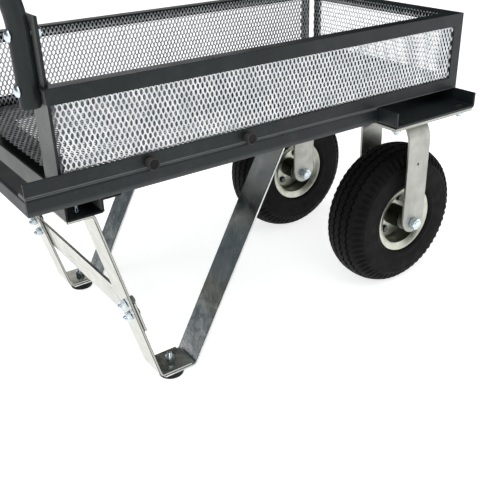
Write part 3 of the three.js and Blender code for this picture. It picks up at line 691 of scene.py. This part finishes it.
for side, _ in SIDES:
    for row in ("lower", "upper"):
        brace = f"{side}_{row}_brace"
        seat = centre(f"{brace}_nut") + FRONT_NORMAL * BRACE_NUT_HALF * MM
        nut(f"{brace}_hex_nut", f"{brace}_nut", seat, -FRONT_NORMAL, 6.9, 7.0, M8)
        head = seat + FRONT_NORMAL * BRACE_STACK * MM
        # The bolt heads take the dark zinc as painted shade, where they sit in shade on the brace's far face.
        bolt(f"{brace}_hex_bolt", f"{brace}_bolt", head, -FRONT_NORMAL, 5.4, 5.2, M8, 20.0,
             head_look=DARK_ZINC)
    low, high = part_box(f"{side}_axle_nut")
    seat = Vector(((low.x + high.x) / 2, high.y, (low.z + high.z) / 2))
    nut(f"{side}_axle_lock_nut", f"{side}_axle_nut", seat, -Y, 9.4, 10.0, AXLE)
    low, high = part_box(f"{side}_axle_bolt")
    head = Vector((seat.x, high.y - 8 * MM, seat.z))
    bolt(f"{side}_axle_hex_bolt", f"{side}_axle_bolt", head, -Y, 9.4, 7.8, AXLE,
         (head.y - low.y) / MM - 4.4)
    low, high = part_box(f"{side}_foot_nut")
    seat = Vector(((low.x + high.x) / 2, (low.y + high.y) / 2, low.z))
    nut(f"{side}_foot_hex_nut", f"{side}_foot_nut", seat, Z, 7.0, 7.0, M8)
    low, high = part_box(f"{side}_foot_stud")
    stud = Shell().thread(M8, 0, (high.z - low.z) / MM, along(Z, (seat.x, seat.y, low.z)))
    piece(f"{side}_foot_threaded_stud", stud.points, stud.faces, BOLT_ZINC, "chassis",
          [f"{side}_foot_stud"])
    low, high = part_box(f"{side}_strut_bolt")
    head = Vector(((low.x + high.x) / 2, (low.y + high.y) / 2, low.z + 5.5 * MM))
    bolt(f"{side}_strut_hex_bolt", f"{side}_strut_bolt", head, Z, 6.5, 5.4, M8, (high.z - head.z) / MM)

# ---------------------------------------------------------------- rubber feet and bumpers

BUMPER_DROP = 1.0 * MM  # a bumper sits this far below the middle of its CAD node
BUMPER_FACE = 6.9 * MM  # radius of its face, which keeps the black rubber; the side outside it is painted paler, as painted light

for side, s in SIDES:
    low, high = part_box(f"{side}_foot_pad")
    floor_point = Vector(((low.x + high.x) / 2, (low.y + high.y) / 2, 0))
    pad = Shell().turned([(0.01, 0.0), (17.4, 0.0), (19.4, 0.7), (20.1, 2.2), (20.0, 4.0), (19.5, 8.6),
                          (19.1, 12.0), (18.4, 13.7), (17.2, 14.3), (0.01, 14.3)], along(Z, floor_point), 56)
    piece(f"{side}_moulded_foot", pad.points, pad.faces, FOOT_RUBBER, "chassis",
          [f"{side}_foot_pad"])
    for number in (1, 2):
        low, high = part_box(f"{side}_bumper_{number}")
        seat = Vector(((low.x + high.x) / 2, high.y if s < 0 else low.y, (low.z + high.z) / 2))
        seat.z -= BUMPER_DROP
        knob = Shell().turned([(0.01, 0.0), (7.0, 0.0), (7.4, 0.6), (7.6, 8.6), (8.2, 9.4), (8.3, 10.6),
                               (7.9, 11.8), (7.0, 12.4), (5.0, 12.5), (4.6, 12.0), (0.01, 11.8)],
                              along(Y * s, seat), 40)
        # The face keeps the black rubber, and the side takes the paler rubber as painted light.
        face = (FOOT_RUBBER, lambda at: math.hypot(at.x - seat.x, at.z - seat.z) < BUMPER_FACE)
        piece(f"{side}_moulded_bumper_{number}", knob.points, knob.faces, LIT_BUMPER_RUBBER, "chassis",
              [f"{side}_bumper_{number}"], inner=face)

# ---------------------------------------------------------------- handle


def sweep(path, radius, sides=32):
    """Rings of a round tube along a path, in metres."""
    rings = []
    for i, point in enumerate(path):
        run = (path[min(i + 1, len(path) - 1)] - path[max(i - 1, 0)]).normalized()
        out = Y.cross(run).normalized() if abs(run.y) < 0.9 else X
        over = run.cross(out)
        rings.append([point + (out * math.cos(2 * math.pi * k / sides)
                               + over * math.sin(2 * math.pi * k / sides)) * radius for k in range(sides)])
    return rings


TUBE = 12.7 * MM  # radius of the handle's tube
HANDLE_BEND_Z = 0.575  # the height of the arms' bend, as in the CAD
BEND_REACH = 38 * MM  # from the bend's corner to where the tube is straight
BEND_STEPS = 12
HANDLE_BOLT_Z = (0.474, 0.536)  # the heights of the bolts through a post
POST_BACK = 4.2 * MM  # from a post's outer face to the seat of its nuts
bar_low, bar_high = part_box("handle_crossbar")
BAR = (bar_low + bar_high) / 2


def weld_bead(top, lean):
    """A rippled ring of weld where an arm meets the crossbar, set back along `lean` from the bar's middle."""
    bead = []
    out = Y.cross(lean).normalized()
    for k in range(40):
        a = 2 * math.pi * k / 40
        ring = []
        for j in range(8):
            b = 2 * math.pi * j / 8
            swell = 1.9 + 0.35 * math.sin(a * 20)
            ring.append(top - lean * (12.4 - 1.4 * math.cos(2 * a)) * MM
                        + (out * math.cos(a) + Y * math.sin(a)) * (12.9 + swell * math.cos(b)) * MM
                        + lean * swell * math.sin(b) * MM)
        bead.append(ring)
    return Shell().rings(bead, loop=True)


for side, _ in SIDES:
    low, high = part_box(f"{side}_handle_arm")
    foot = Vector((high.x - TUBE, (low.y + high.y) / 2, low.z))
    corner = Vector((foot.x, foot.y, HANDLE_BEND_Z))
    top = Vector((BAR.x, foot.y, BAR.z))
    lean = (top - corner).normalized()
    path = [foot, foot + Z * 0.002, foot.lerp(corner, 0.5)]
    for i in range(BEND_STEPS + 1):
        t = i / BEND_STEPS
        a, b = corner - Z * BEND_REACH, corner + lean * BEND_REACH
        path.append(a * (1 - t) ** 2 + corner * 2 * t * (1 - t) + b * t ** 2)
    path += [corner.lerp(top, 0.6), top - lean * 0.0125]
    tube = Shell().rings(sweep(path, TUBE))
    tube.turned([(0.01, -3.0), (11.6, -3.0), (12.3, -2.4), (12.6, -0.2), (12.6, 0.3), (0.01, 0.3)],
                along(Z, foot), 32)
    piece(f"{side}_handle_tube", tube.points, tube.faces, PAINT, "chassis",
          [f"{side}_handle_arm"])
    shell = weld_bead(top, lean)
    piece(f"{side}_handle_weld", shell.points, shell.faces, PAINT, "chassis")
    # Two bolts through each arm and its post, with round heads outside.
    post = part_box(f"{side}_corner_post")[0].x
    for number, height in enumerate(HANDLE_BOLT_Z, 1):
        at = Vector((foot.x - TUBE + 0.4 * MM, foot.y, height))
        shell = Shell().turned([(0.01, -0.4), (7.6, -0.4), (7.9, 0.4), (6.9, 2.4), (4.4, 3.9), (0.01, 4.3)],
                               along(-X, at), 32)
        inner = Vector((post + POST_BACK, foot.y, height))
        shell.hexagon(6.5, 6.5, along(X, inner), chamfer_low=True, bore=4.15)
        shell.thread(M8, -30.0, 9.5, along(X, inner))
        piece(f"{side}_handle_bolt_{number}", shell.points, shell.faces, BOLT_ZINC, "chassis")

length = (bar_high.y - bar_low.y) / MM
cross = Shell().turned([(0.01, -1.6), (10.4, -1.6), (12.2, -0.9), (12.7, 0.2), (12.7, length - 0.2),
                        (12.2, length + 0.9), (10.4, length + 1.6), (0.01, length + 1.6)],
                       along(Y, (BAR.x, bar_low.y, BAR.z)), 48)
piece("handle_cross_tube", cross.points, cross.faces, PAINT, "chassis", ["handle_crossbar"])

low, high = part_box("handle_grip")
grip_length = (high.y - low.y) / MM
GRIP_RIB = 6.0  # from one rib of the grip to the next
profile = [(13.1, 0.0), (17.6, 0.0), (18.6, 0.9), (18.6, 5.0), (17.4, 6.2)]
along_grip = 8.0
while along_grip < grip_length - 12:
    profile += [(16.9, along_grip), (16.9, along_grip + 3.6), (16.2, along_grip + 4.4),
                (16.2, along_grip + 5.2)]
    along_grip += GRIP_RIB
profile += [(16.9, grip_length - 7.0), (17.4, grip_length - 6.2), (18.6, grip_length - 5.0),
            (18.6, grip_length - 0.9), (17.6, grip_length), (13.1, grip_length)]
grip = Shell().turned(profile, along(Y, (BAR.x, low.y, BAR.z)), 48, loop=True)
piece("handle_ribbed_grip", grip.points, grip.faces, GRIP_RUBBER, "chassis", ["handle_grip"])

# ---------------------------------------------------------------- small fittings

PLATE_INSET = (16 * MM, 14 * MM)  # from a caster plate's edges to its bolts
STRUT_BOLT_INSET = 28 * MM  # from the rear strut's wheel end to its bolt
RIVET_INSETS = (62.1 * MM, 385.4 * MM)  # from the rail's handle end
RIVET_DROP = 4.2 * MM  # below the rail's top

for side, s in SIDES:
    # Bolts that hold each caster plate up to its channel.
    low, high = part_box(f"{side}_caster_plate")
    for i, x in enumerate((low.x + PLATE_INSET[0], high.x - PLATE_INSET[0]), 1):
        for j, y in enumerate((low.y + PLATE_INSET[1], high.y - PLATE_INSET[1]), 1):
            under = along(-Z, (x, y, low.z))
            shell = Shell().hexagon(6.8, 6.5, under, chamfer_low=True, bore=4.15)
            shell.thread(M8, -10.0, 10.0, under)
            piece(f"{side}_plate_nut_{i}{j}", shell.points, shell.faces, BOLT_ZINC, "chassis")
            # The heads take the channel's near-black coat, and with it its painted shade.
            head = along(Z, (x, y, high.z + 4.4 * MM))
            shell = Shell().turned([(0.01, -0.6), (8.0, -0.6), (8.2, 0.2), (7.2, 1.6), (4.6, 2.8),
                                    (0.01, 3.2)], head, 32)
            piece(f"{side}_plate_bolt_{i}{j}", shell.points, shell.faces, CHANNEL_SHADE_LIGHT_PAINT, "chassis")
    # The bolt through each rear strut's top into the cross-member.
    low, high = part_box(f"{side}_rear_strut")
    under = along(-Z, (high.x - STRUT_BOLT_INSET, (low.y + high.y) / 2, high.z - 4 * MM))
    shell = Shell().hexagon(6.5, 5.3, under).thread(M8, -18.0, 0.0, under)
    piece(f"{side}_rear_strut_bolt", shell.points, shell.faces, BOLT_ZINC, "chassis")
    # Small rivets on each rail.
    rail_low, rail_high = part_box(f"{side}_side_rail")
    face = rail_low.y if s < 0 else rail_high.y
    for number, inset in enumerate(RIVET_INSETS, 1):
        shell = Shell().turned([(0.01, -0.3), (2.6, -0.3), (2.7, 0.2), (2.0, 0.9), (0.9, 1.15), (0.01, 1.2)],
                               along(Y * s, (rail_low.x + inset, face, rail_high.z - RIVET_DROP)), 24)
        piece(f"{side}_rail_rivet_{number}", shell.points, shell.faces, PAINT, "chassis")

# ---------------------------------------------------------------- floor, light and camera


def stage_floor():
    """A plain pale floor just under the cart."""
    look = Look("floor_paper", Roughness=0.9)
    look.colour(look.ramp(look.noise(0.6, 2), (0.3, (0.83, 0.83, 0.83)), (0.7, (0.86, 0.86, 0.86))))
    look.shader.inputs["Emission Color"].default_value = (1, 1, 1, 1)
    look.shader.inputs["Emission Strength"].default_value = 0.75
    half, level = 9.0, -0.0005
    mesh = bpy.data.meshes.new("floor")
    mesh.from_pydata([(-half, -half, level), (half, -half, level), (half, half, level), (-half, half, level)],
                     [], [(0, 1, 2, 3)])
    mesh.materials.append(look.material)
    floor = bpy.data.objects.new("floor", mesh)
    bpy.context.scene.collection.objects.link(floor)


def light(name, kind, energy, location, target, size=(1.0, 1.0), colour=(1, 1, 1), **more):
    """A light at `location` that points to `target`. `size` is an area light's width and height."""
    data = bpy.data.lights.new(name, kind)
    data.energy = energy
    data.color = colour
    if kind == "AREA":
        data.shape = "RECTANGLE"
        data.size, data.size_y = size
    for key, value in more.items():
        setattr(data, key, value)
    lamp = bpy.data.objects.new(name, data)
    lamp.location = location
    lamp.rotation_euler = (Vector(target) - Vector(location)).to_track_quat("-Z", "Y").to_euler()
    bpy.context.scene.collection.objects.link(lamp)


stage_floor()
light("soft_key", "SUN", 1.6, (-1.2, -1.0, 3.0), (0, 0, 0), angle=math.radians(60))
light("side_fill", "AREA", 12.5, (2.1, -1.5, 1.0), (0.2, 0, 0.3), (1.6, 1.9))
light("end_fill", "AREA", 6.0, (-1.7, -1.5, 1.1), (-0.2, -0.2, 0.35), (1.0, 1.0), (0.9, 0.96, 1.0))


def studio_world():
    """A dim room, bluer towards the handle and darker past the wheels.

    A pale low backdrop stands at the far side.
    """
    world = bpy.data.worlds.new("studio")
    world.use_nodes = True
    tree = world.node_tree
    split = tree.nodes.new("ShaderNodeSeparateXYZ")
    tree.links.new(tree.nodes.new("ShaderNodeTexCoord").outputs["Generated"], split.inputs[0])

    def fade(axis, start, end, first, last):
        shade = tree.nodes.new("ShaderNodeMapRange")
        shade.interpolation_type = "SMOOTHSTEP"
        tree.links.new(split.outputs[axis], shade.inputs["Value"])
        shade.inputs["From Min"].default_value = start
        shade.inputs["From Max"].default_value = end
        tint = tree.nodes.new("ShaderNodeValToRGB")
        tree.links.new(shade.outputs["Result"], tint.inputs["Fac"])
        tint.color_ramp.elements[0].color = (*first, 1)
        tint.color_ramp.elements[1].color = (*last, 1)
        return tint.outputs["Color"]

    def blend(kind, a, b):
        node = tree.nodes.new("ShaderNodeMix")
        node.data_type, node.blend_type = "RGBA", kind
        node.inputs[0].default_value = 1.0
        tree.links.new(a, node.inputs[6])
        tree.links.new(b, node.inputs[7])
        return node.outputs[2]

    room = fade("X", -0.7, 0.5, (0.115, 0.135, 0.150), (0.028, 0.030, 0.031))
    low = fade("Z", 0.44, 0.53, (0.90, 0.90, 0.88), (0, 0, 0))
    far = blend("MULTIPLY", fade("Y", 0.73, 0.84, (0, 0, 0), (1, 1, 1)),
                fade("X", -0.15, 0.1, (0, 0, 0), (1, 1, 1)))
    tree.links.new(blend("ADD", room, blend("MULTIPLY", low, far)),
                   tree.nodes["Background"].inputs["Color"])
    bpy.context.scene.world = world


studio_world()

# The camera of the fit that the CAD's measured dimensions start from, rounded.
CAMERA_PLACE = (-0.5484, -0.9820, 0.6902)
CAMERA_ANGLES = (54.897, 27.879, -1.456)  # yaw, pitch down and roll, in degrees

camera_data = bpy.data.cameras.new("camera")
camera_data.lens = 51.53
camera_data.sensor_width = 36
camera_data.clip_end = 60
camera = bpy.data.objects.new("camera", camera_data)
yaw, pitch, roll = (math.radians(a) for a in CAMERA_ANGLES)
forward = Vector((math.cos(yaw) * math.cos(pitch), math.sin(yaw) * math.cos(pitch), -math.sin(pitch)))
right = Vector((math.sin(yaw), -math.cos(yaw), 0))
up = right.cross(forward)
right, up = right * math.cos(roll) + up * math.sin(roll), up * math.cos(roll) - right * math.sin(roll)
turn = Matrix((right, up, -forward)).transposed().to_4x4()
camera.matrix_world = Matrix.Translation(CAMERA_PLACE) @ turn
bpy.context.scene.collection.objects.link(camera)
bpy.context.scene.camera = camera
bpy.context.scene.view_settings.view_transform = "Standard"
